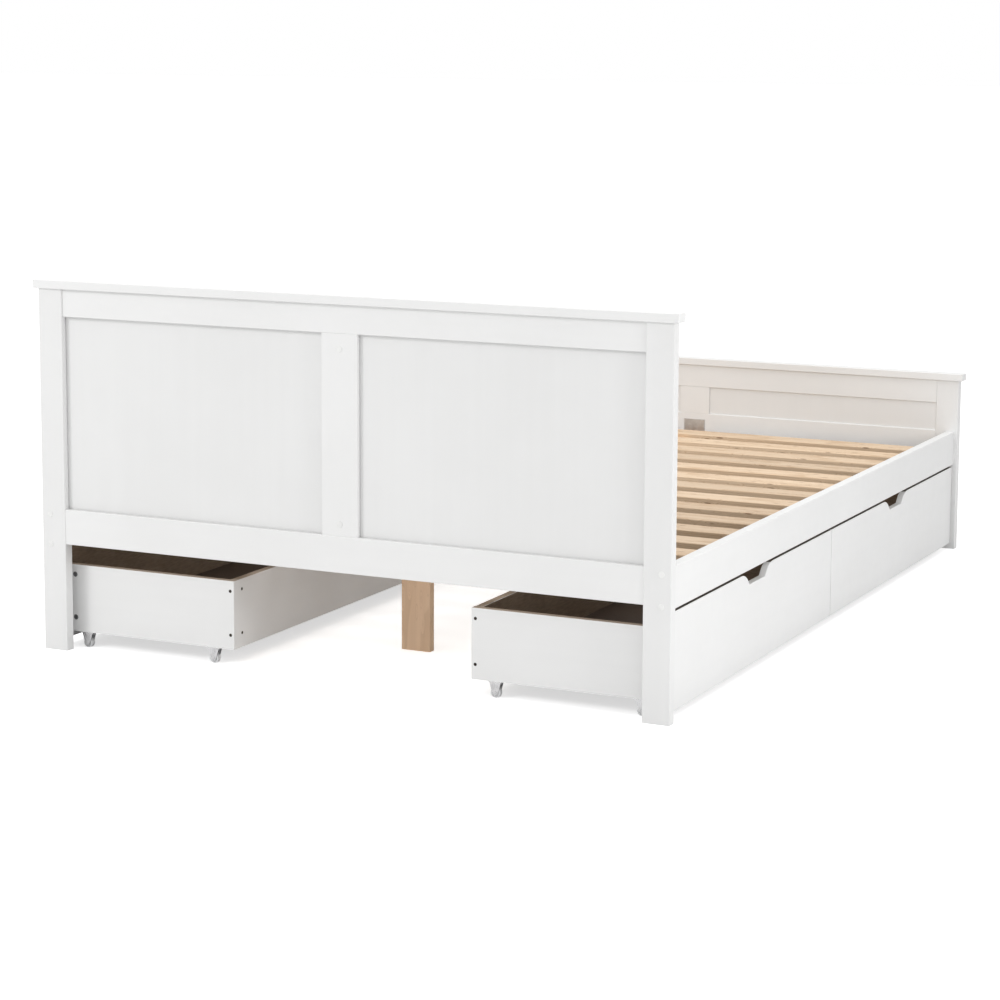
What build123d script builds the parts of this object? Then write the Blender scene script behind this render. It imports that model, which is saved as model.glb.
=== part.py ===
from build123d import *
import os

# A wooden double bed frame with four rolling underbed drawers.
# Millimetres. The origin is on the floor under the middle of the bed, +X runs across the bed,
# +Y from the headboard to the footboard, and +Z is up.

# ---- Driving dimensions of the frame ----
bed_width = 1500.0  # over the posts
bed_length = 2064.0  # over the posts
post_width = 60.0
post_depth = 25.0
head_post_height = 808.0
foot_post_height = 454.0
cap_thickness = 19.0
cap_overhang_x = 11.0
cap_overhang_y = 6.0
top_rail_height = 61.0
bottom_rail_bottom = 241.0
bottom_rail_top = 319.0
stile_width = 85.0
top_rail_setback = 4.0  # the setbacks are measured inwards from the posts' outer face
bottom_rail_setback = 2.0
stile_setback = 5.0
panel_setback = 16.0
panel_thickness = 5.0
groove_depth = 7.0
groove_play = 1.5  # the shadow gap in front of a panel
panel_tongue = 6.0  # how far a panel or a stub tenon enters its groove
tenon_length = 15.0
tenon_thickness = 8.0
tenon_setback = 7.0
tenon_shoulder = 9.0
edge_ease = 1.5  # radius of the eased edges of painted boards

side_rail_inset = 10.0  # from the posts' outer side to the rail's outer face
side_rail_thickness = 22.0
side_rail_bottom = 229.0
side_rail_top = 317.0
ledge_size = 25.0
ledge_end_gap = 60.0
slat_width = 70.0
slat_thickness = 18.0
slat_count = 15
slat_end_gap = 82.0  # from the end boards to the middle of the first slat
slat_play = 2.0  # between a slat's end and the side rail
beam_width = 72.0
beam_thickness = 22.0
beam_top = 260.0
leg_spacing = 671.0
leg_count = 3

# ---- Driving dimensions of the frame's fixings ----
bolt_heights = (240.0, 306.0)
bolt_radius = 3.0
bolt_clearance_radius = 3.3
bolt_head_radius = 5.0
bolt_head_height = 4.0
bolt_socket_floor = 1.0
thread_play = 0.05
counterbore_radius = 5.5
counterbore_depth = 6.0
barrel_radius = 5.0
barrel_length = 16.0
barrel_bore_depth = 17.0
barrel_distance = 40.0  # from the rail's end to its barrel nuts
bolt_tip_past_barrel = 9.0
cover_radius = 6.5
cover_thickness = 1.2
cover_stem_radius = 5.3
cover_stem_length = 1.5
plug_heights = (344.0, 714.0)  # cover plugs on the headboard's stile
plate_thickness = 1.5
hanger_width = 60.0
hanger_height = 64.0
hanger_seat = 42.0
angle_width = 40.0
angle_leg = 32.0
screw_radius = 1.75
screw_head_radius = 3.6
screw_head_height = 2.0
screw_play = 0.1  # radial room round a screw
ledge_screw_count = 7
ledge_screw_length = 38.0
short_screw_length = 14.0

# ---- Driving dimensions of the drawers ----
front_gap_to_post = 7.0
front_gap_between = 4.0
front_gap_to_rail = 5.5
front_bottom = 17.0
front_thickness = 15.0
front_inset = 11.0  # from the posts' outer side to the front's outer face
box_side_inset = 16.0  # how far the front runs past the box on each side
box_bottom = 35.0
box_top = 187.0
box_back = 287.0  # from the bed's middle to the back panel's outer face
board_thickness = 18.0
base_thickness = 5.0
base_top = 60.0
base_groove = 6.0
base_tongue = 5.0
notch_depth = 26.5
notch_bottom_width = 96.0
notch_top_width = 150.0
notch_lip_radius = 55.0
notch_floor_radius = 9.0
fixing_heights = (67.0, 164.5)
cam_radius = 6.0
cam_depth = 10.0
cam_recess = 0.5  # below the side's face
cam_slot_length = 7.8
cam_slot_width = 1.5
cam_distance = 25.0  # from the front's inner face
dowel_radius = 2.5
dowel_in_front = 10.0
side_screw_length = 50.0
back_screw_distance = 34.0  # from the box's outer side
wheel_radius = 11.0
wheel_width = 12.5
axle_radius = 2.5
wheel_bore_play = 0.05
castor_inset = 54.0  # from the box's ends to the axles
castor_plate_length = 31.0
castor_cheek_thickness = 1.2
castor_cheek_gap = 0.4  # between the wheel's side and a cheek
castor_cheek_tip_radius = 6.5
castor_cheek_top_width = 27.0
rivet_head_radius = 3.6
rivet_head_height = 0.9

# ---- Places that follow from them ----
half_width = bed_width / 2
half_length = bed_length / 2
inner_end = half_length - post_depth  # the end boards' inner faces
post_inner_x = half_width - post_width
groove_back = half_length - panel_setback - panel_thickness
groove_front = half_length - panel_setback + groove_play
rail_outer_x = half_width - side_rail_inset
rail_inner_x = rail_outer_x - side_rail_thickness
rail_middle_x = (rail_outer_x + rail_inner_x) / 2
ledge_top = beam_top
ledge_bottom = ledge_top - ledge_size
slat_top = ledge_top + slat_thickness
slat_reach = rail_inner_x - slat_play
slat_pitch = 2 * (inner_end - slat_end_gap) / (slat_count - 1)
beam_bottom = beam_top - beam_thickness
beam_end = inner_end - plate_thickness
front_outer_x = half_width - front_inset
front_inner_x = front_outer_x - front_thickness
front_top = side_rail_bottom - front_gap_to_rail
front_width = inner_end - front_gap_to_post - front_gap_between / 2
drawer_middle = front_gap_between / 2 + front_width / 2
box_half = front_width / 2 - box_side_inset
axle_y = box_half - board_thickness / 2
axle_xs = (box_back + castor_inset, front_inner_x - castor_inset)


def block(x_limits, y_limits, z_limits, mode=Mode.ADD):
    """A rectangular block between three pairs of limits, in the open part."""
    pairs = (x_limits, y_limits, z_limits)
    with Locations(tuple(sum(pair) / 2 for pair in pairs)):
        Box(*(abs(pair[1] - pair[0]) for pair in pairs), mode=mode)


def group(pieces):
    """Separate solids gathered in one part, as for a set of fasteners."""
    return Compound([solid for piece in pieces for solid in piece.solids()])


def save(piece, name):
    piece.label = name
    export_step(piece, f"parts/{name}.step")


# ---- Screws ----
def screw(length):
    """A countersunk screw, its head flush with z = 0 and its shank pointing down."""
    with BuildPart() as body:
        with BuildSketch(Plane.XZ):
            with BuildLine():
                Polyline(
                    (0, 0),
                    (screw_head_radius, 0),
                    (screw_radius, -screw_head_height),
                    (screw_radius, -length + 2 * screw_radius),
                    (0, -length),
                    close=True,
                )
            make_face()
        revolve(axis=Axis.Z)
    return body.part


def place(piece, planes):
    """Copies of a piece, each standing on a plane."""
    return [plane.location * piece for plane in planes]


def drill_for_screws(planes, depth):
    """Countersunk holes for screws, in the open part."""
    with Locations(*planes):
        CounterSinkHole(screw_radius + screw_play, screw_head_radius + screw_play, depth)


# ---- Headboard and footboard, built at the +Y end ----
def post(post_height):
    """The right-hand post, with its groove, its mortises and its two bolt holes."""
    top_rail_bottom = post_height - top_rail_height
    with BuildPart() as body:
        block((post_inner_x, half_width), (inner_end, half_length), (0, post_height))
        fillet(body.edges().filter_by(Axis.Z), edge_ease)
        block(
            (post_inner_x, post_inner_x + groove_depth),
            (groove_back, groove_front),
            (bottom_rail_top - groove_depth, top_rail_bottom + groove_depth),
            mode=Mode.SUBTRACT,
        )
        for low, high in ((bottom_rail_bottom, bottom_rail_top), (top_rail_bottom, post_height)):
            block(
                (post_inner_x, post_inner_x + tenon_length),
                (half_length - tenon_setback - tenon_thickness, half_length - tenon_setback),
                (low + tenon_shoulder, high - tenon_shoulder),
                mode=Mode.SUBTRACT,
            )
        with Locations(*bolt_planes(half_length)):
            CounterBoreHole(bolt_clearance_radius, counterbore_radius, counterbore_depth)
    return body.part


def bolt_planes(y):
    """The side-rail bolts' axes at a distance along the bed, looking out of the end."""
    return [Plane(origin=(rail_middle_x, y, z), z_dir=(0, 1, 0)) for z in bolt_heights]


def rail(setback, low, high, groove_low):
    """A board between the posts, with a tenon at each end and a groove for the panels."""
    with BuildPart() as body:
        block((-post_inner_x, post_inner_x), (inner_end, half_length - setback), (low, high))
        fillet(body.edges().filter_by(Axis.X), edge_ease)
        for side in (-1, 1):
            block(
                (side * post_inner_x, side * (post_inner_x + tenon_length)),
                (half_length - tenon_setback - tenon_thickness, half_length - tenon_setback),
                (low + tenon_shoulder, high - tenon_shoulder),
            )
        block(
            (-post_inner_x, post_inner_x),
            (groove_back, groove_front),
            (groove_low, groove_low + groove_depth),
            mode=Mode.SUBTRACT,
        )
    return body.part


def bottom_rail():
    """The board under the panels, drilled on its inner face for the beam hanger's screws."""
    with BuildPart() as body:
        groove_low = bottom_rail_top - groove_depth
        add(rail(bottom_rail_setback, bottom_rail_bottom, bottom_rail_top, groove_low))
        drill_for_screws(hanger_screw_planes(), short_screw_length)
    return body.part


def stile(post_height):
    """The upright between the two panels, with stub tenons that sit in the rails' grooves."""
    top_rail_bottom = post_height - top_rail_height
    with BuildPart() as body:
        block(
            (-stile_width / 2, stile_width / 2),
            (inner_end, half_length - stile_setback),
            (bottom_rail_top, top_rail_bottom),
        )
        for side in (-1, 1):
            block(
                (side * stile_width / 2, side * (stile_width / 2 - groove_depth)),
                (groove_back, groove_front),
                (bottom_rail_top, top_rail_bottom),
                mode=Mode.SUBTRACT,
            )
        block(
            (groove_depth - stile_width / 2, stile_width / 2 - groove_depth),
            (groove_back, groove_front),
            (bottom_rail_top - panel_tongue, top_rail_bottom + panel_tongue),
        )
    return body.part


def panel(post_height):
    """The right-hand panel, held in the grooves of the post, the stile and the two rails."""
    top_rail_bottom = post_height - top_rail_height
    with BuildPart() as body:
        block(
            (stile_width / 2 - panel_tongue, post_inner_x + panel_tongue),
            (groove_back, groove_back + panel_thickness),
            (bottom_rail_top - panel_tongue, top_rail_bottom + panel_tongue),
        )
    return body.part


def cap(post_height):
    """The flat board on top, which stands out all round."""
    with BuildPart() as body:
        block(
            (-half_width - cap_overhang_x, half_width + cap_overhang_x),
            (inner_end - cap_overhang_y, half_length + cap_overhang_y),
            (post_height, post_height + cap_thickness),
        )
        fillet(body.edges(), edge_ease)
    return body.part


# ---- Side rails, slats and centre support ----
def side_rail():
    """The right-hand rail, bored at each end for its bolts and barrel nuts."""
    barrel_y = inner_end - barrel_distance
    bore_length = barrel_distance + bolt_tip_past_barrel + 2
    with BuildPart() as body:
        block((rail_inner_x, rail_outer_x), (-inner_end, inner_end), (side_rail_bottom, side_rail_top))
        fillet(body.edges().filter_by(Axis.Y), edge_ease)
        for z in bolt_heights:
            for end in (-1, 1):
                with Locations(Plane(origin=(rail_middle_x, end * inner_end, z), z_dir=(0, end, 0))):
                    Hole(bolt_clearance_radius, bore_length)
                with Locations(Plane(origin=(rail_inner_x, end * barrel_y, z), z_dir=(-1, 0, 0))):
                    Hole(barrel_radius + screw_play, barrel_bore_depth)
        with Locations(*ledge_screw_planes(rail_inner_x)):
            Hole(screw_radius + screw_play, ledge_screw_length - ledge_size + 1)
    return body.part


def ledge_screw_planes(x):
    """The screws that hold the right-hand ledge, their heads facing the bed's middle."""
    reach = inner_end - ledge_end_gap - 2 * ledge_size
    spacing = 2 * reach / (ledge_screw_count - 1)
    middle_z = (ledge_bottom + ledge_top) / 2
    ys = [-reach + spacing * n for n in range(ledge_screw_count)]
    return [Plane(origin=(x, y, middle_z), z_dir=(-1, 0, 0)) for y in ys]


def ledge():
    """The right-hand batten that the slats rest on."""
    with BuildPart() as body:
        reach = inner_end - ledge_end_gap
        block((rail_inner_x - ledge_size, rail_inner_x), (-reach, reach), (ledge_bottom, ledge_top))
        fillet(body.edges().filter_by(Axis.Y), edge_ease)
        drill_for_screws(ledge_screw_planes(rail_inner_x - ledge_size), ledge_size)
    return body.part


def slats():
    with BuildPart() as body:
        with Locations((0, 0, (ledge_top + slat_top) / 2)):
            with GridLocations(slat_pitch, slat_pitch, 1, slat_count):
                Box(2 * slat_reach, slat_width, slat_thickness)
        fillet(body.edges().filter_by(Axis.X), 2 * edge_ease)
    return body.part


def centre_beam():
    """The flat board under the middle of the slats."""
    with BuildPart() as body:
        block((-beam_width / 2, beam_width / 2), (-beam_end, beam_end), (beam_bottom, beam_top))
        fillet(body.edges().filter_by(Axis.Y), 2 * edge_ease)
        drill_for_screws(beam_screw_planes(), short_screw_length)
    return body.part


def leg_middles():
    return [leg_spacing * (n - (leg_count - 1) / 2) for n in range(leg_count)]


def centre_legs():
    """The legs under the centre beam, cut from the same board."""
    with BuildPart() as body:
        for y in leg_middles():
            block(
                (-beam_width / 2, beam_width / 2),
                (y - beam_thickness / 2, y + beam_thickness / 2),
                (0, beam_bottom),
            )
        fillet(body.edges().filter_by(Axis.Z), 2 * edge_ease)
        drill_for_screws(leg_screw_planes(), short_screw_length)
    return body.part


def angle_plate(y):
    """The steel angle between a leg and the beam."""
    face = y + beam_thickness / 2
    half = angle_width / 2
    with BuildPart() as body:
        block((-half, half), (face, face + plate_thickness), (beam_bottom - angle_leg, beam_bottom))
        block((-half, half), (face, face + angle_leg), (beam_bottom - plate_thickness, beam_bottom))
        drill_for_screws(leg_plate_screws(y), plate_thickness)
        drill_for_screws(beam_plate_screws(y), plate_thickness)
    return body.part


def leg_plate_screws(y):
    """The two screws of an angle plate that enter its leg."""
    z = beam_bottom - angle_leg * 2 / 3
    outer_y = y + beam_thickness / 2 + plate_thickness
    return [Plane(origin=(side * angle_width / 4, outer_y, z), z_dir=(0, 1, 0)) for side in (-1, 1)]


def beam_plate_screws(y):
    """The two screws of an angle plate that enter the beam."""
    middle_y = y + beam_thickness / 2 + angle_leg * 2 / 3
    z = beam_bottom - plate_thickness
    return [Plane(origin=(side * angle_width / 4, middle_y, z), z_dir=(0, 0, -1)) for side in (-1, 1)]


def leg_screw_planes():
    return [plane for y in leg_middles() for plane in leg_plate_screws(y)]


def beam_screw_planes():
    return [plane for y in leg_middles() for plane in beam_plate_screws(y)]


def hanger_screw_planes():
    """The two screws of the hanger at the +Y end, above the beam."""
    z = beam_bottom + hanger_height - hanger_width / 4
    return [
        Plane(origin=(side * hanger_width / 4, beam_end, z), z_dir=(0, -1, 0)) for side in (-1, 1)
    ]


def hanger():
    """The steel seat that carries the beam's +Y end from the bottom rail."""
    half = hanger_width / 2
    seat_bottom = beam_bottom - plate_thickness
    with BuildPart() as body:
        block((-half, half), (beam_end, inner_end), (seat_bottom, beam_bottom + hanger_height))
        block((-half, half), (inner_end - hanger_seat, inner_end), (seat_bottom, beam_bottom))
        drill_for_screws(hanger_screw_planes(), plate_thickness)
    return body.part


def end_bolt(z):
    """The right-hand rail's bolt at the +Y end."""
    length = post_depth - counterbore_depth + barrel_distance + bolt_tip_past_barrel
    seat_y = half_length - counterbore_depth
    with BuildPart() as body:
        with BuildSketch(Plane(origin=(rail_middle_x, seat_y, z), z_dir=(0, 1, 0))):
            Circle(bolt_head_radius)
            RegularPolygon(bolt_radius, 6, mode=Mode.SUBTRACT)
        extrude(amount=bolt_head_height)
        with BuildSketch(Plane(origin=(rail_middle_x, seat_y, z), z_dir=(0, -1, 0))):
            Circle(bolt_radius)
        extrude(amount=length)
        with BuildSketch(Plane(origin=(rail_middle_x, seat_y, z), z_dir=(0, 1, 0))):
            Circle(bolt_head_radius)
        extrude(amount=bolt_socket_floor)
    return body.part


def barrel_nut(z):
    """The cross dowel in the right-hand rail that the bolt at the +Y end screws into."""
    barrel_y = inner_end - barrel_distance
    with BuildPart() as body:
        with BuildSketch(Plane(origin=(rail_inner_x, barrel_y, z), z_dir=(1, 0, 0))):
            Circle(barrel_radius)
        extrude(amount=barrel_length)
        with Locations(Plane(origin=(rail_middle_x, barrel_y, z), z_dir=(0, 1, 0))):
            Cylinder(bolt_radius + thread_play, 3 * barrel_radius, mode=Mode.SUBTRACT)
    return body.part


def frame_fixings():
    """Every steel fixing of the frame: bolts, barrel nuts, screws, hangers and angles."""
    corner = [piece for z in bolt_heights for piece in (end_bolt(z), barrel_nut(z))]
    right_end = group(corner + place(screw(short_screw_length), hanger_screw_planes()) + [hanger()])
    right_bolts = group(corner)
    ledge_screws = group(place(screw(ledge_screw_length), ledge_screw_planes(rail_inner_x - ledge_size)))
    middle = [angle_plate(y) for y in leg_middles()]
    middle += place(screw(short_screw_length), leg_screw_planes() + beam_screw_planes())
    pieces = [right_end, mirror(right_end, about=Plane.XZ)]
    left_bolts = mirror(right_bolts, about=Plane.YZ)
    pieces += [left_bolts, mirror(left_bolts, about=Plane.XZ)]
    pieces += [ledge_screws, mirror(ledge_screws, about=Plane.YZ)]
    return group(pieces + middle)


def cover(plane, stem_length):
    """A white plastic cover with a slightly domed face."""
    with BuildPart() as body:
        with BuildSketch(plane):
            Circle(cover_radius)
        extrude(amount=cover_thickness)
        fillet(body.faces().sort_by(Axis.Y)[-1].edges(), cover_thickness / 2)
        if stem_length:
            with BuildSketch(plane):
                Circle(cover_stem_radius)
            extrude(amount=-stem_length)
    return body.part


def cover_caps():
    """The covers over the bolt heads, and the two on the headboard's stile."""
    right_foot = group([cover(plane, cover_stem_length) for plane in bolt_planes(half_length)])
    right_head = mirror(right_foot, about=Plane.XZ)
    stile_face = half_length - stile_setback
    stile_planes = [Plane(origin=(0, stile_face, z), z_dir=(0, 1, 0)) for z in plug_heights]
    on_stile = mirror(group([cover(plane, 0) for plane in stile_planes]), about=Plane.XZ)
    left = [mirror(piece, about=Plane.YZ) for piece in (right_foot, right_head)]
    return group([right_foot, right_head, on_stile] + left)


# ---- A drawer on the right-hand side, built about y = 0 ----
def drawer_front():
    """The front board, with a finger notch in the middle of its top edge."""
    notch_floor = front_top - notch_depth
    with BuildPart() as body:
        with BuildSketch(Plane(origin=(front_inner_x, 0, 0), x_dir=(0, 1, 0), z_dir=(1, 0, 0))):
            with BuildLine():
                Polyline(
                    (-front_width / 2, front_bottom),
                    (front_width / 2, front_bottom),
                    (front_width / 2, front_top),
                    (notch_top_width / 2, front_top),
                    (notch_bottom_width / 2, notch_floor),
                    (-notch_bottom_width / 2, notch_floor),
                    (-notch_top_width / 2, front_top),
                    (-front_width / 2, front_top),
                    close=True,
                )
            outline = make_face()
            corners = outline.vertices().filter_by_position(Axis.X, -notch_top_width, notch_top_width)
            fillet(corners.group_by(Axis.Y)[-1], notch_lip_radius)
            fillet(corners.group_by(Axis.Y)[0], notch_floor_radius)
        extrude(amount=front_thickness)
        fillet(body.faces().sort_by(Axis.X)[-1].edges(), edge_ease)
        base_slot()
        for side in (-1, 1):
            y = side * axle_y
            for z in fixing_heights:
                with Locations(Plane(origin=(front_inner_x, y, z), z_dir=(-1, 0, 0))):
                    Hole(dowel_radius + screw_play, dowel_in_front + 1)
    return body.part


def base_slot():
    """The groove for the drawer's bottom, cut from the open part's inner faces."""
    block(
        (box_back + board_thickness - base_groove, front_inner_x + base_groove),
        (-box_half + board_thickness - base_groove, box_half - board_thickness + base_groove),
        (base_top - base_thickness, base_top),
        mode=Mode.SUBTRACT,
    )


def side_screw_planes(y):
    """The screws through a box side into the back, at a face of the +Y side."""
    x = box_back + board_thickness / 2
    return [Plane(origin=(x, y, z), z_dir=(0, 1, 0)) for z in fixing_heights]


def cam_planes():
    """The cam fittings on the outer face of the +Y side."""
    return [
        Plane(origin=(front_inner_x - cam_distance, box_half, z), z_dir=(0, 1, 0))
        for z in fixing_heights
    ]


def dowel_planes():
    """The cams' dowels in the +Y side, starting inside the front."""
    x = front_inner_x + dowel_in_front
    return [Plane(origin=(x, axle_y, z), z_dir=(1, 0, 0)) for z in fixing_heights]


def drawer_side():
    """The +Y side of the box."""
    with BuildPart() as body:
        block((box_back, front_inner_x), (box_half - board_thickness, box_half), (box_bottom, box_top))
        fillet(body.faces().sort_by(Axis.Z)[-1].edges().filter_by(Axis.X), edge_ease)
        base_slot()
        drill_for_screws(side_screw_planes(box_half), board_thickness)
        with Locations(*cam_planes()):
            Hole(cam_radius + screw_play, cam_depth + 2)
        with Locations(*(plane.offset(-dowel_in_front) for plane in dowel_planes())):
            Hole(dowel_radius + screw_play, cam_distance - 1)
    return body.part


def back_screw_planes():
    """The screws seen on the outer face of the back, near its ends."""
    reach = box_half - back_screw_distance
    return [
        Plane(origin=(box_back, side * reach, z), z_dir=(-1, 0, 0))
        for side in (-1, 1)
        for z in fixing_heights
    ]


def drawer_back():
    """The back board, held between the two sides."""
    end = box_half - board_thickness
    with BuildPart() as body:
        block((box_back, box_back + board_thickness), (-end, end), (box_bottom, box_top))
        fillet(body.faces().sort_by(Axis.Z)[-1].edges().filter_by(Axis.Y), edge_ease)
        base_slot()
        drill_for_screws(back_screw_planes(), short_screw_length + 1)
        for side in (-1, 1):
            for plane in side_screw_planes(end):
                end_face = Plane(origin=(plane.origin.X, side * end, plane.origin.Z), z_dir=(0, side, 0))
                with Locations(end_face):
                    Hole(screw_radius + screw_play, side_screw_length - board_thickness + 1)
    return body.part


def drawer_base():
    """The thin bottom board, held in grooves on all four sides."""
    with BuildPart() as body:
        inner_half = box_half - board_thickness + base_tongue
        block(
            (box_back + board_thickness - base_tongue, front_inner_x + base_tongue),
            (-inner_half, inner_half),
            (base_top - base_thickness, base_top),
        )
    return body.part


def cam_fitting(plane):
    """A cam with a cross-shaped key slot in its face."""
    with BuildPart() as body:
        with BuildSketch(plane.offset(-cam_recess)):
            Circle(cam_radius)
        extrude(amount=-cam_depth)
        with BuildSketch(plane.offset(-cam_recess)):
            Rectangle(cam_slot_length, cam_slot_width)
            Rectangle(cam_slot_width, cam_slot_length)
        extrude(amount=-cam_depth / 5, mode=Mode.SUBTRACT)
    return body.part


def cam_dowel(plane):
    """The steel dowel that the cam pulls, from inside the front to just short of the cam."""
    with BuildPart() as body:
        with BuildSketch(plane):
            Circle(dowel_radius)
        extrude(amount=-(dowel_in_front + cam_distance - cam_radius - 1))
    return body.part


def drawer_fittings():
    """The cams, dowels and screws that hold the box together."""
    one_side = [cam_fitting(plane) for plane in cam_planes()]
    one_side += [cam_dowel(plane) for plane in dowel_planes()]
    one_side += place(screw(side_screw_length), side_screw_planes(box_half))
    one_side = group(one_side)
    back_screws = place(screw(short_screw_length), back_screw_planes())
    return group([one_side, mirror(one_side, about=Plane.XZ)] + back_screws)


def castor_bracket():
    """A pressed steel bracket over a wheel whose middle is at the origin."""
    top = box_bottom - wheel_radius
    cheek_inner = wheel_width / 2 + castor_cheek_gap
    with BuildPart() as body:
        block(
            (-castor_plate_length / 2, castor_plate_length / 2),
            (-board_thickness / 2, board_thickness / 2),
            (top - plate_thickness, top),
        )
        for side in (-1, 1):
            with BuildSketch(Plane.XZ.offset(side * cheek_inner)):
                Circle(castor_cheek_tip_radius)
                with Locations((0, top - plate_thickness / 2)):
                    Rectangle(castor_cheek_top_width, plate_thickness)
                make_hull()
                Circle(axle_radius, mode=Mode.SUBTRACT)
            extrude(amount=side * castor_cheek_thickness)
    return body.part


def castor_axle():
    """The riveted axle of a castor, along Y through the origin."""
    reach = wheel_width / 2 + castor_cheek_gap + castor_cheek_thickness
    with BuildPart() as body:
        with BuildSketch(Plane.XZ):
            Circle(axle_radius)
        extrude(amount=reach, both=True)
        for side in (-1, 1):
            with BuildSketch(Plane.XZ.offset(side * reach)):
                Circle(rivet_head_radius)
            extrude(amount=side * rivet_head_height)
    return body.part


def wheel():
    """A castor wheel about the origin, its axis along Y, dished on both sides."""
    hub_radius = 2 * axle_radius
    rim_inner_radius = wheel_radius * 0.72
    dish_depth = wheel_width * 0.18
    with BuildPart() as body:
        with BuildSketch(Plane.XZ):
            Circle(wheel_radius)
        extrude(amount=wheel_width / 2, both=True)
        fillet(body.edges(), edge_ease)
        for side in (-1, 1):
            with BuildSketch(Plane.XZ.offset(side * wheel_width / 2)):
                Circle(rim_inner_radius)
                Circle(hub_radius, mode=Mode.SUBTRACT)
            extrude(amount=-side * dish_depth, mode=Mode.SUBTRACT)
        with BuildSketch(Plane.XZ):
            Circle(axle_radius + wheel_bore_play)
        extrude(amount=wheel_width, both=True, mode=Mode.SUBTRACT)
    return body.part


def wheel_places(x):
    """The middles of the two wheels on one axle line."""
    return [Pos(x, side * axle_y, wheel_radius) for side in (-1, 1)]


def castor_brackets():
    """The four brackets of a drawer and their axles."""
    places = [spot for x in axle_xs for spot in wheel_places(x)]
    return group([spot * piece for spot in places for piece in (castor_bracket(), castor_axle())])


def wheel_pair(x):
    """The two wheels on one axle line."""
    return group([spot * wheel() for spot in wheel_places(x)])


# ---- Writing the pieces ----
os.makedirs("parts", exist_ok=True)

for end_name, post_height in (("headboard", head_post_height), ("footboard", foot_post_height)):
    top_rail_bottom = post_height - top_rail_height
    right_post = post(post_height)
    right_panel = panel(post_height)
    end_pieces = {
        "right_post": right_post,
        "left_post": mirror(right_post, about=Plane.YZ),
        "right_panel": right_panel,
        "left_panel": mirror(right_panel, about=Plane.YZ),
        "top_rail": rail(top_rail_setback, top_rail_bottom, post_height, top_rail_bottom),
        "bottom_rail": bottom_rail(),
        "centre_stile": stile(post_height),
        "cap": cap(post_height),
    }
    for piece_name, piece in end_pieces.items():
        if end_name == "headboard":
            piece = mirror(piece, about=Plane.XZ)
        save(piece, f"{end_name}_{piece_name}")

right_rail = side_rail()
right_ledge = ledge()
save(right_rail, "right_side_rail")
save(mirror(right_rail, about=Plane.YZ), "left_side_rail")
save(group([right_ledge, mirror(right_ledge, about=Plane.YZ)]), "slat_ledges")
save(slats(), "slats")
save(centre_beam(), "centre_beam")
save(centre_legs(), "centre_legs")
save(frame_fixings(), "frame_fixings")
save(cover_caps(), "cover_caps")

one_side = drawer_side()
drawer_pieces = {
    "front": drawer_front(),
    "foot_side": one_side,
    "head_side": mirror(one_side, about=Plane.XZ),
    "back": drawer_back(),
    "base": drawer_base(),
    "fittings": drawer_fittings(),
    "castor_brackets": castor_brackets(),
    "back_wheels": wheel_pair(axle_xs[0]),
    "front_wheels": wheel_pair(axle_xs[1]),
}
for row_name, row_y in (("head", -drawer_middle), ("foot", drawer_middle)):
    for piece_name, piece in drawer_pieces.items():
        right_piece = Pos(0, row_y, 0) * piece
        save(right_piece, f"right_{row_name}_drawer_{piece_name}")
        save(mirror(right_piece, about=Plane.YZ), f"left_{row_name}_drawer_{piece_name}")
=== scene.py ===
import math

import bpy
from mathutils import Matrix, Vector


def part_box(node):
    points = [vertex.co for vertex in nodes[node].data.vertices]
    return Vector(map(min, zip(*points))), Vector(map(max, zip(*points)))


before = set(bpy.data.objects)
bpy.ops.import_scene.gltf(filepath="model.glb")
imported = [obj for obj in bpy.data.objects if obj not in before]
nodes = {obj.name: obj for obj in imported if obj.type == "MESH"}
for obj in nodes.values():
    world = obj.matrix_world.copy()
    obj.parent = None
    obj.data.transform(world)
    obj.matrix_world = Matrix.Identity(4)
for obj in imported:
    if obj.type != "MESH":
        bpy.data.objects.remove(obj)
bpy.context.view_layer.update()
scene = bpy.context.scene

# Metres. The origin is on the floor under the bed's middle, +X across, +Y from head to foot, +Z up.
X, Y, Z = (1, 0, 0), (0, 1, 0), (0, 0, 1)


# ---- Camera ----
camera_place = (2.6518, -5.8003, 1.3719)
camera_turn, camera_tilt, camera_roll = 0.4458, -0.1390, 0.0048  # radians
camera_lens = 95.14
camera_shift = -0.1


def make_camera():
    """Looks at the headboard and the right-hand side, from outside the head end."""
    camera = bpy.data.objects.new("camera", bpy.data.cameras.new("camera"))
    camera.data.lens = camera_lens
    camera.data.shift_y = camera_shift
    facing = Matrix.Rotation(camera_turn, 3, "Z") @ Matrix.Rotation(math.pi / 2 + camera_tilt, 3, "X")
    facing = facing @ Matrix.Rotation(camera_roll, 3, "Z")
    camera.matrix_world = facing.to_4x4()
    camera.location = camera_place
    scene.collection.objects.link(camera)
    scene.camera = camera


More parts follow.
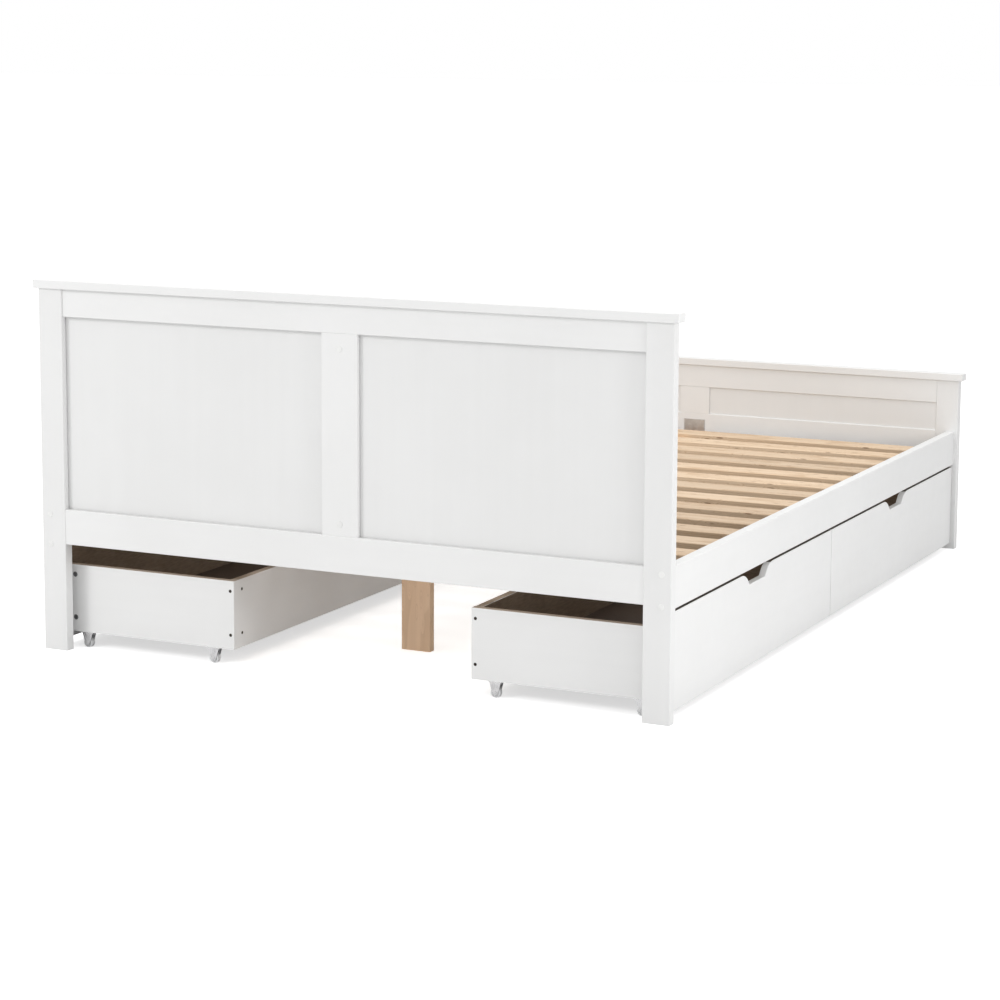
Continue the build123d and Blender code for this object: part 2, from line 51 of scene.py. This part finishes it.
# ---- Node trees ----
class Nodes:
    """Short calls that fill one node tree. Most of them return the output of the node they add."""

    def __init__(self, tree):
        self.tree = tree
        self.tree.nodes.clear()

    def add(self, kind, **settings):
        node = self.tree.nodes.new(kind)
        for name, value in settings.items():
            setattr(node, name, value)
        return node

    def feed(self, socket, value):
        """Links another node's output to a socket, or sets it to a number or vector."""
        if isinstance(value, bpy.types.NodeSocket):
            self.tree.links.new(value, socket)
        else:
            socket.default_value = value

    def maths(self, operation, a, b=0.0, clamp=False):
        node = self.add("ShaderNodeMath", operation=operation, use_clamp=clamp)
        self.feed(node.inputs[0], a)
        self.feed(node.inputs[1], b)
        return node.outputs[0]

    def weighted(self, *pairs, clamp=False):
        """The sum of values, each times its weight."""
        products = [self.maths("MULTIPLY", value, weight) for value, weight in pairs]
        total = products[0]
        for product in products[1:]:
            total = self.maths("ADD", total, product, clamp)
        return total

    def vector(self, operation, a, b=(0.0, 0.0, 0.0)):
        node = self.add("ShaderNodeVectorMath", operation=operation)
        self.feed(node.inputs[0], a)
        self.feed(node.inputs[1], b)
        return node.outputs["Value" if operation in ("DOT_PRODUCT", "LENGTH") else "Vector"]

    def split(self, vector):
        """The three outputs x, y and z."""
        node = self.add("ShaderNodeSeparateXYZ")
        self.feed(node.inputs[0], vector)
        return node.outputs

    def join(self, x, y, z):
        node = self.add("ShaderNodeCombineXYZ")
        for socket, value in zip(node.inputs, (x, y, z)):
            self.feed(socket, value)
        return node.outputs[0]

    def noise(self, vector, scale, detail=2.0, roughness=0.5):
        """Where vector is a place in metres, scale is about the number of blotches to the metre."""
        node = self.add("ShaderNodeTexNoise")
        self.feed(node.inputs["Vector"], vector)
        node.inputs["Scale"].default_value = scale
        node.inputs["Detail"].default_value = detail
        node.inputs["Roughness"].default_value = roughness
        return node.outputs["Fac"]

    def spread(self, value, low, high, to_low=0.0, to_high=1.0):
        """Maps low..high to to_low..to_high with soft ends."""
        node = self.add("ShaderNodeMapRange", interpolation_type="SMOOTHSTEP")
        for socket, number in zip(node.inputs, (value, low, high, to_low, to_high)):
            self.feed(socket, number)
        return node.outputs[0]

    def ramp(self, value, stops):
        node = self.add("ShaderNodeValToRGB")
        while len(node.color_ramp.elements) < len(stops):
            node.color_ramp.elements.new(0.5)
        for element, (place, colour) in zip(node.color_ramp.elements, stops):
            element.position = place
            element.color = (*colour, 1.0)
        self.feed(node.inputs[0], value)
        return node.outputs[0]

    def mix(self, share, a, b, blend_type="MIX"):
        """Goes from colour a to colour b as share goes from 0 to 1. The node has sockets for numbers
        and vectors too: its colours are inputs 6 and 7, and output 2."""
        node = self.add("ShaderNodeMix", data_type="RGBA", blend_type=blend_type)
        self.feed(node.inputs[0], share)
        for socket, value in zip(node.inputs[6:8], (a, b)):
            self.feed(socket, (*value, 1.0) if isinstance(value, tuple) else value)
        return node.outputs[2]

    def bump(self, height, distance, under=None):
        node = self.add("ShaderNodeBump")
        node.inputs["Distance"].default_value = distance
        self.feed(node.inputs["Height"], height)
        if under:
            self.feed(node.inputs["Normal"], under)
        return node.outputs[0]


class Finish(Nodes):
    """A material with a Principled shader. place is a point's own coordinates, in metres at rest,
    and normal is the way that the surface faces there."""

    def __init__(self, name, roughness=0.5, metallic=0.0):
        self.material = bpy.data.materials.new(name)
        self.material.use_nodes = True
        super().__init__(self.material.node_tree)
        coordinates = self.add("ShaderNodeTexCoord")
        self.place = coordinates.outputs["Object"]
        self.normal = coordinates.outputs["Normal"]
        self.shader = self.add("ShaderNodeBsdfPrincipled")
        self.shader.inputs["Roughness"].default_value = roughness
        self.shader.inputs["Metallic"].default_value = metallic
        self.feed(self.add("ShaderNodeOutputMaterial").inputs[0], self.shader.outputs[0])

    def stretched(self, across, along, axis):
        """The place, scaled so that a pattern runs out long in the direction of axis."""
        scales = tuple(along if part else across for part in axis)
        return self.vector("MULTIPLY", self.place, scales)

    def finish(self, colour, roughness=None, normal=None):
        for name, value in (("Base Color", colour), ("Roughness", roughness), ("Normal", normal)):
            if value:
                self.feed(self.shader.inputs[name], value)
        return self.material


def scaled(colour, level):
    return tuple(part * level for part in colour)


# ---- Finishes ----
paint_white = (0.778, 0.778, 0.774)
paint_shade = (0.752, 0.752, 0.747)
# Painted shade: the posts and panels wear the rails' white paint, made darker here to stand in for
# less light falling on them.
painted_shade_share = 0.965  # the posts' and panels' white, as a share of the rails'

# Each pair is the dark and the light tone of a mottled colour.
# The drawers' inner faces: a brown board, darkened as painted shade for the deep shadow inside the
# drawers.
box_browns_and_shade = ((0.205, 0.150, 0.106), (0.290, 0.222, 0.162))
box_edges = ((0.315, 0.252, 0.198), (0.370, 0.298, 0.236))
# The fronts' top edges: brown like the other boards' edges, but far darker as a painted shadow under
# the side rail.
front_edges_and_shadow = ((0.075, 0.057, 0.042), (0.100, 0.076, 0.056))
screw_blacks = ((0.040, 0.032, 0.028), (0.060, 0.048, 0.042))
cam_greys = ((0.200, 0.200, 0.205), (0.270, 0.270, 0.275))
floor_tones = ((0.78, 0.78, 0.78), (0.82, 0.82, 0.82))
edge_depth = 0.002

# The hardboard's ramp: the colour at each height of its speckle, darkened as painted shade for the
# deep shadow inside the drawers.
hardboard_and_shade_stops = (
    (0.32, (0.034, 0.021, 0.013)),
    (0.50, (0.054, 0.033, 0.021)),
    (0.70, (0.085, 0.054, 0.034)),
)

# A pine is its early wood and its late wood, which is the darker part of each growth ring.
slat_pine = ((0.730, 0.565, 0.400), (0.560, 0.385, 0.235))
beam_pine = ((0.850, 0.620, 0.432), (0.715, 0.500, 0.330))
knot_brown = (0.200, 0.100, 0.045)
ring_width = 0.0046
pith_offset = (0.0, -0.030, 0.028)


def paint_layers(look, grain, telegraph, level=1.0):
    """Satin lacquer: a faint cloudy tone, fine orange peel, and the board's brushed-out grain,
    which shows through to the depth telegraph."""
    clouds = look.noise(look.place, 3.2, 3.0)
    streaks = look.noise(look.stretched(45.0, 1.6, grain), 1.0, 2.0)
    tone = look.spread(look.weighted((clouds, 0.75), (streaks, 0.25)), 0.30, 0.70)
    colour = look.mix(tone, scaled(paint_shade, level), scaled(paint_white, level))
    grain_height = look.noise(look.stretched(420.0, 9.0, grain), 1.0, 4.0, 0.6)
    peel = look.noise(look.place, 620.0, 2.0)
    normal = look.bump(peel, 0.00004, look.bump(grain_height, telegraph))
    roughness = look.spread(look.noise(look.place, 38.0, 3.0), 0.3, 0.7, 0.36, 0.46)
    return colour, roughness, normal


def painted_board(name, grain, telegraph=0.00005, level=1.0):
    look = Finish(name)
    return look.finish(*paint_layers(look, grain, telegraph, level))


def drawer_board(name, grain, inward, edges, middle_y, reach, floor_z, top_z):
    """White outside. Its top edge has the two tones in edges; on a front they are a painted shadow
    under the side rail. The face that looks inward is brown, darkened as painted shade for the shadow
    inside the drawer, within reach of the drawer's middle and above its floor."""
    look = Finish(name)
    colour, roughness, normal = paint_layers(look, grain, 0.00004)
    y, z = look.split(look.place)[1:3]
    fibres = look.noise(look.stretched(260.0, 40.0, grain), 1.0, 4.0, 0.65)
    streak = look.spread(fibres, 0.3, 0.7)
    upward = look.maths("GREATER_THAN", look.split(look.normal)[2], 0.9)
    edge = look.maths("MULTIPLY", upward, look.maths("GREATER_THAN", z, top_z - edge_depth))
    # Top edge in the given tones; on a front these are a painted shadow under the side rail.
    colour = look.mix(edge, colour, look.mix(streak, *edges))
    facing = look.maths("GREATER_THAN", look.vector("DOT_PRODUCT", look.normal, inward), 0.9)
    off_middle = look.maths("ABSOLUTE", look.maths("SUBTRACT", y, middle_y))
    inside = look.maths("MULTIPLY", facing, look.maths("LESS_THAN", off_middle, reach))
    inside = look.maths("MULTIPLY", inside, look.maths("GREATER_THAN", z, floor_z))
    # Inner faces: brown board with painted shade, darker than the board for the shadow inside the
    # drawer.
    colour = look.mix(inside, colour, look.mix(streak, *box_browns_and_shade))
    roughness = look.maths("ADD", roughness, look.maths("MULTIPLY", inside, 0.2))
    return look.finish(colour, roughness, normal)


def hardboard(name):
    """The thin pressed-fibre bottom: dark brown, made darker still as painted shade for the shadow
    inside the drawer, speckled, with a slightly polished face.
    """
    look = Finish(name)
    flecks = look.noise(look.place, 380.0, 5.0, 0.7)
    clouds = look.noise(look.place, 9.0, 3.0)
    colour = look.ramp(look.weighted((flecks, 0.7), (clouds, 0.3)), hardboard_and_shade_stops)
    roughness = look.spread(flecks, 0.3, 0.7, 0.48, 0.66)
    return look.finish(colour, roughness, look.bump(flecks, 0.00010))


def pine(name, axes, tones, board_pitch=0.0, knots=0.8):
    """Planed pine as a solid log pattern: growth rings about a pith, fibres and small knots.
    axes orders the coordinates as (along the grain, across, through). With a board_pitch, each
    board in a row of them is cut from its own stretch of the log."""
    look = Finish(name)
    parts = look.split(look.place)
    along, across, through = (parts[i] for i in axes)
    board = 0.0
    if board_pitch:
        board = look.maths("ROUND", look.maths("DIVIDE", across, board_pitch))
        across = look.maths("SUBTRACT", across, look.maths("MULTIPLY", board, board_pitch))
    chance = look.add("ShaderNodeTexWhiteNoise", noise_dimensions="1D")
    look.feed(chance.inputs["W"], board)
    shift = look.vector("MULTIPLY", chance.outputs["Color"], (7.0, 0.050, 0.030))
    local = look.vector("ADD", look.join(along, across, through), shift)

    knot_cells = look.add("ShaderNodeTexVoronoi")
    look.feed(knot_cells.inputs["Vector"], look.vector("MULTIPLY", local, (2.6, 14.0, 14.0)))
    knot_distance = knot_cells.outputs["Distance"]
    knot = look.spread(knot_distance, 0.07, 0.17, 1.0, 0.0)
    swirl = look.spread(knot_distance, 0.0, 0.45, 0.012, 0.0)

    wander = look.noise(look.vector("MULTIPLY", local, (1.3, 7.0, 7.0)), 1.0, 2.0)
    from_pith = look.vector("ADD", look.vector("MULTIPLY", local, (0.0, 1.0, 1.0)), pith_offset)
    depth = look.maths("ADD", look.vector("LENGTH", from_pith), look.maths("MULTIPLY", wander, 0.034))
    depth = look.maths("ADD", depth, swirl)
    ring = look.maths("FRACT", look.maths("DIVIDE", depth, ring_width))
    late_wood = look.spread(ring, 0.45, 0.93)
    late_wood = look.maths("MULTIPLY", late_wood, look.spread(ring, 0.93, 1.0, 1.0, 0.0))

    fibres = look.noise(look.vector("MULTIPLY", local, (28.0, 900.0, 900.0)), 1.0, 3.0, 0.6)
    streaks = look.noise(look.vector("MULTIPLY", local, (1.6, 60.0, 60.0)), 1.0, 3.0)
    streaks = look.spread(streaks, 0.3, 0.7)
    share = look.weighted((late_wood, 0.55), (streaks, 0.35), (fibres, 0.18), clamp=True)
    colour = look.mix(share, *tones)
    tint = look.spread(chance.outputs["Value"], 0.0, 1.0, 0.90, 1.06)
    colour = look.mix(1.0, colour, look.join(tint, tint, tint), "MULTIPLY")
    colour = look.mix(look.maths("MULTIPLY", knot, knots), colour, knot_brown)
    height = look.weighted((fibres, 0.5), (late_wood, 0.5))
    roughness = look.spread(fibres, 0.3, 0.7, 0.52, 0.68)
    return look.finish(colour, roughness, look.bump(height, 0.00015))


def zinc(name, colour, roughness):
    """Plated steel: slightly blotchy, with the fine rub marks of handling."""
    look = Finish(name, metallic=1.0)
    blotches = look.noise(look.place, 75.0, 4.0, 0.5)
    rubs = look.noise(look.stretched(320.0, 40.0, Z), 1.0, 2.0)
    tone = look.mix(look.spread(blotches, 0.35, 0.65), scaled(colour, 0.86), colour)
    rough = look.spread(rubs, 0.3, 0.7, roughness * 0.88, roughness * 1.15)
    return look.finish(tone, rough, look.bump(rubs, 0.00001))


def drawer_fittings(name, cam_reach):
    """Blackened screws, and grey cast cams, which are the fittings further out than cam_reach."""
    look = Finish(name, metallic=0.85)
    out = look.maths("ABSOLUTE", look.split(look.place)[0])
    cam = look.maths("GREATER_THAN", out, cam_reach)
    blotches = look.noise(look.place, 260.0, 4.0, 0.6)
    mottle = look.spread(blotches, 0.35, 0.65)
    colour = look.mix(cam, look.mix(mottle, *screw_blacks), look.mix(mottle, *cam_greys))
    rough = look.spread(blotches, 0.3, 0.7, 0.34, 0.50)
    return look.finish(colour, rough, look.bump(blotches, 0.00004))


def plastic(name, colour, roughness, glow):
    """Moulded plastic with a fine sparked texture; glow is how much light goes into it."""
    look = Finish(name)
    look.shader.inputs["Subsurface Weight"].default_value = glow
    look.shader.inputs["Subsurface Radius"].default_value = (0.002, 0.002, 0.002)
    look.shader.inputs["Subsurface Scale"].default_value = 1.0
    grains = look.noise(look.place, 1300.0, 2.0)
    clouds = look.noise(look.place, 90.0, 2.0)
    tone = look.mix(look.spread(clouds, 0.35, 0.65), scaled(colour, 0.93), colour)
    rough = look.spread(grains, 0.3, 0.7, roughness * 0.85, roughness * 1.15)
    return look.finish(tone, rough, look.bump(grains, 0.00003))


# ---- Putting the finishes on the pieces ----
slat_width = 0.070
slat_count = 15
cam_band = 0.050  # the cams are all nearer than this to the front board, and the screws further off


def cover(node_name, material):
    mesh = nodes[node_name].data
    mesh.materials.clear()
    mesh.materials.append(material)


def finish_ends():
    # The posts and panels take the painted shade, a darker copy of the same white.
    post = painted_board("painted_post", Z, level=painted_shade_share)
    upright = painted_board("painted_stile", Z)
    lying = painted_board("painted_crosswise", X)
    sheet = painted_board("painted_panel", Z, telegraph=0.00002, level=painted_shade_share)
    looks = {
        "right_post": post, "left_post": post, "centre_stile": upright,
        "top_rail": lying, "bottom_rail": lying, "cap": lying,
        "right_panel": sheet, "left_panel": sheet,
    }
    for end in ("headboard", "footboard"):
        for piece, material in looks.items():
            cover(f"{end}_{piece}", material)


def finish_middle():
    rail = painted_board("painted_lengthwise", Y)
    for side in ("right", "left"):
        cover(f"{side}_side_rail", rail)
    slat_low, slat_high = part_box("slats")
    slat_pitch = (slat_high.y - slat_low.y - slat_width) / (slat_count - 1)
    cover("slats", pine("pine_slats", (0, 1, 2), slat_pine, slat_pitch))
    cover("slat_ledges", pine("pine_ledges", (1, 0, 2), slat_pine))
    cover("centre_beam", pine("pine_beam", (1, 0, 2), beam_pine))
    cover("centre_legs", pine("pine_legs", (2, 0, 1), beam_pine, knots=0.0))
    cover("frame_fixings", zinc("zinc_plating", (0.62, 0.63, 0.65), 0.34))
    cover("cover_caps", plastic("white_cap_plastic", (0.80, 0.80, 0.79), 0.30, 0.10))


def finish_boards(drawer, outward):
    """The four boards of a drawer that opens to +X where outward is 1, and to -X where it is -1."""
    back_low, back_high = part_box(f"{drawer}_back")
    middle_y = (back_low.y + back_high.y) / 2
    reach = (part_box(f"{drawer}_foot_side")[1].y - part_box(f"{drawer}_head_side")[0].y) / 2
    floor_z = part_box(f"{drawer}_base")[0].z
    boards = {
        # The front's top edge is a painted shadow under the side rail.
        "front": (Y, (-outward, 0, 0), front_edges_and_shadow),
        "back": (Y, (outward, 0, 0), box_edges),
        "head_side": (X, (0, 1, 0), box_edges),
        "foot_side": (X, (0, -1, 0), box_edges),
    }
    for piece, (grain, inward, edges) in boards.items():
        name = f"{drawer}_{piece}"
        top_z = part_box(name)[1].z
        cover(name, drawer_board(name, grain, inward, edges, middle_y, reach, floor_z, top_z))


def finish_drawers():
    base = hardboard("hardboard")
    front_inner_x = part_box("right_head_drawer_front")[0].x
    fittings = drawer_fittings("blackened_steel", front_inner_x - cam_band)
    brackets = zinc("bright_zinc", (0.76, 0.76, 0.77), 0.27)
    wheels = plastic("wheel_plastic", (0.76, 0.765, 0.77), 0.34, 0.25)
    for side, outward in (("right", 1), ("left", -1)):
        for row in ("head", "foot"):
            drawer = f"{side}_{row}_drawer"
            finish_boards(drawer, outward)
            cover(f"{drawer}_base", base)
            cover(f"{drawer}_fittings", fittings)
            cover(f"{drawer}_castor_brackets", brackets)
            cover(f"{drawer}_back_wheels", wheels)
            cover(f"{drawer}_front_wheels", wheels)


# ---- Studio ----
floor_reach = 60.0
lift_height = 0.0004
lift_strength = 0.62
sky_strength = 0.78
backdrop_way = (-0.43, 0.90, 0.0)


def floor_square(name, height, material):
    signs = ((-1, -1), (1, -1), (1, 1), (-1, 1))
    corners = [(floor_reach * x, floor_reach * y, height) for x, y in signs]
    mesh = bpy.data.meshes.new(name)
    mesh.from_pydata(corners, [], [(0, 1, 2, 3)])
    mesh.materials.append(material)
    square = bpy.data.objects.new(name, mesh)
    scene.collection.objects.link(square)
    return square


def make_floor():
    """A plain pale floor."""
    look = Finish("floor", roughness=0.7)
    look.shader.inputs["Specular IOR Level"].default_value = 0.2
    specks = look.noise(look.place, 30.0, 3.0)
    floor_square("floor", 0.0, look.finish(look.mix(specks, *floor_tones)))


def lift_floor():
    """A clear sheet on the floor that adds an even white and lights nothing."""
    material = bpy.data.materials.new("floor_lift")
    material.use_nodes = True
    tree = Nodes(material.node_tree)
    clear = tree.add("ShaderNodeBsdfTransparent")
    glow = tree.add("ShaderNodeEmission")
    glow.inputs["Strength"].default_value = lift_strength
    both = tree.add("ShaderNodeAddShader")
    tree.feed(both.inputs[0], clear.outputs[0])
    tree.feed(both.inputs[1], glow.outputs[0])
    tree.feed(tree.add("ShaderNodeOutputMaterial").inputs[0], both.outputs[0])
    sheet = floor_square("floor_lift", lift_height, material)
    sheet.visible_diffuse = False
    sheet.visible_glossy = False
    sheet.visible_transmission = False
    sheet.visible_volume_scatter = False
    sheet.visible_shadow = False


def make_sky():
    """Soft white light all round, with a brighter backdrop low down behind the bed's far end."""
    world = bpy.data.worlds.new("studio")
    world.use_nodes = True
    scene.world = world
    tree = Nodes(world.node_tree)
    way = tree.add("ShaderNodeTexCoord").outputs["Generated"]
    low_down = tree.spread(tree.split(way)[2], 0.15, 0.50, 1.0, 0.0)
    behind = tree.spread(tree.vector("DOT_PRODUCT", way, backdrop_way), 0.20, 0.80)
    backdrop = tree.maths("MULTIPLY", low_down, behind)
    strength = tree.maths("ADD", tree.maths("MULTIPLY", backdrop, 1.0 - sky_strength), sky_strength)
    background = tree.add("ShaderNodeBackground")
    background.inputs["Color"].default_value = (1.0, 1.0, 1.0, 1.0)
    tree.feed(background.inputs["Strength"], strength)
    tree.feed(tree.add("ShaderNodeOutputWorld").inputs[0], background.outputs[0])


def softbox(name, place, aim, size, power):
    data = bpy.data.lights.new(name, "AREA")
    data.shape = "SQUARE"
    data.size = size
    data.energy = power
    light = bpy.data.objects.new(name, data)
    light.location = place
    direction = light.location - Vector(aim)
    light.rotation_mode = "QUATERNION"
    light.rotation_quaternion = direction.to_track_quat("Z", "Y")
    light.visible_camera = False
    scene.collection.objects.link(light)


def make_lights():
    softbox("front", (-2.6, -4.6, 3.0), (-0.3, -1.0, 0.5), 1.4, 76.0)
    softbox("side", (3.0, -1.5, 1.1), (0.75, -0.9, 0.3), 0.9, 20.0)
    softbox("overhead", (0.0, 0.0, 4.5), (0.0, 0.0, 0.0), 3.0, 78.0)


make_camera()
finish_ends()
finish_middle()
finish_drawers()
make_floor()
lift_floor()
make_sky()
make_lights()
scene.view_settings.view_transform = "Standard"
